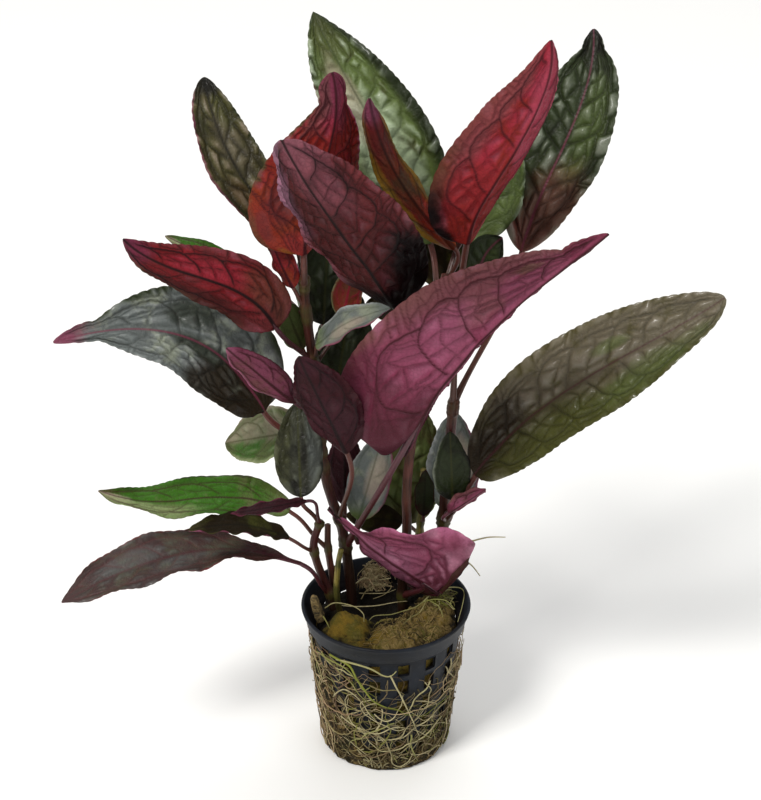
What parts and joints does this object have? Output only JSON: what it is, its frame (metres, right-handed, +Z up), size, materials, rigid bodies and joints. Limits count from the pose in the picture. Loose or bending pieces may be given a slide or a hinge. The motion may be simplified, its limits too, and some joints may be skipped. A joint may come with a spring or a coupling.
{
  "type": "potted red flame ivy",
  "caption": "Small net pot of stone wool with upright stems of red, purple and green oval leaves and a mat of pale roots round its outside.",
  "frame": {"origin": "centre of the pot's base, on the surface the pot stands on", "axes": "+Z up along the pot's axis, -Y towards the front of the plant, +X to the right when seen from the front"},
  "size_m": [0.1794, 0.0806, 0.2163],
  "materials": {
    "pot": "matte dark blue-grey moulded plastic",
    "wool": "wet brown-yellow stone wool",
    "wedge": "pale ridged stone wool",
    "roots": "tan matted roots",
    "stem": "smooth brown-red stem",
    "red_stem": "smooth reddish stem",
    "pale_stem": "smooth yellow-green stem",
    "green": "waffled mid green leaf",
    "dark_green": "waffled dark green leaf with a metallic sheen",
    "bright_green": "smooth bright green leaf",
    "olive": "olive brown leaf",
    "silver": "grey-green leaf with a silvery sheen",
    "bronze": "grey-brown leaf with a bronze sheen",
    "red": "red leaf underside",
    "maroon": "maroon leaf underside",
    "purple": "purple-pink leaf underside",
    "dark_purple": "dark purple leaf underside"
  },
  "bodies": {
    "root": {"pot": "pot", "wool_plug": "wool", "wool_wedge": "wedge", "root_mat": "roots", "root_tuft_back": "roots", "root_tuft_right": "roots", "air_root_upper": "roots", "air_root_lower": "roots", "crown_back_leaf": "green", "upper_left_green_leaf": "green", "crown_red_leaf": "red", "crown_maroon_leaf": "maroon", "crown_narrow_leaf": "red", "upper_right_red_leaf": "red", "upper_right_green_leaf": "dark_green", "upper_back_pale_leaf": "green", "left_pink_leaf": "red", "right_curled_leaf": "dark_green", "front_purple_leaf": "purple", "right_olive_leaf": "olive", "left_red_leaf": "red", "left_silver_leaf": "silver", "low_back_green_leaf": "bright_green", "left_back_green_leaf": "bright_green", "left_small_purple_leaf": "purple", "centre_purple_leaf": "dark_purple", "centre_silver_leaf": "silver", "left_olive_leaf": "olive", "centre_orange_leaf": "red", "centre_dark_leaf": "dark_green", "centre_moss_leaf": "olive", "upper_centre_olive_leaf": "olive", "middle_back_leaf": "dark_green", "hanging_green_leaf": "dark_green", "low_left_dark_leaf": "maroon", "low_left_green_leaf": "bright_green", "low_left_olive_leaf": "olive", "low_left_bronze_leaf": "bronze", "low_front_purple_leaf": "purple", "small_rolled_leaf": "purple", "right_hanging_leaf": "dark_green", "right_back_pale_leaf": "green", "centre_pale_leaf": "silver", "centre_back_olive_leaf": "olive", "centre_back_dark_leaf": "dark_purple", "low_centre_dark_leaf": "dark_green", "centre_maroon_leaf": "dark_purple", "left_stem": "stem", "main_stem": "stem", "pale_stem": "pale_stem", "red_stem": "red_stem", "centre_stem": "red_stem", "right_stem": "stem", "back_stem": "pale_stem"}
  },
  "joints": []
}
